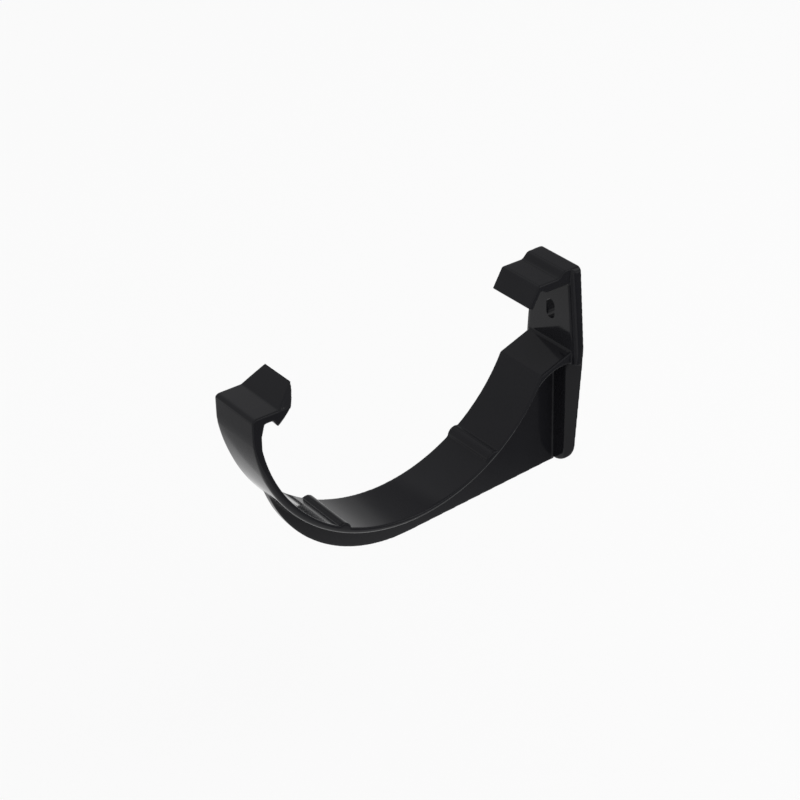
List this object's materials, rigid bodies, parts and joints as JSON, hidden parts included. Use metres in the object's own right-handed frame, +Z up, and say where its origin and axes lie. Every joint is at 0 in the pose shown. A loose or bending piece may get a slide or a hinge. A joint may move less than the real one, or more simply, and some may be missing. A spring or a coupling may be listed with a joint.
{
  "type": "gutter bracket",
  "caption": "Fascia bracket in glossy black plastic for a half-round gutter, with a front clip, a rear hook, a slotted back plate and a stiffening web",
  "frame": {"origin": "centre of the fixing slot, on the back face of the plate, where it meets the fascia board", "axes": "+Z up, +Y into the fascia board, +X along the gutter"},
  "size_m": [0.0252, 0.1242, 0.078],
  "materials": {
    "black_plastic": "smooth glossy moulding"
  },
  "bodies": {
    "root": {"bracket": "black_plastic"}
  },
  "joints": []
}
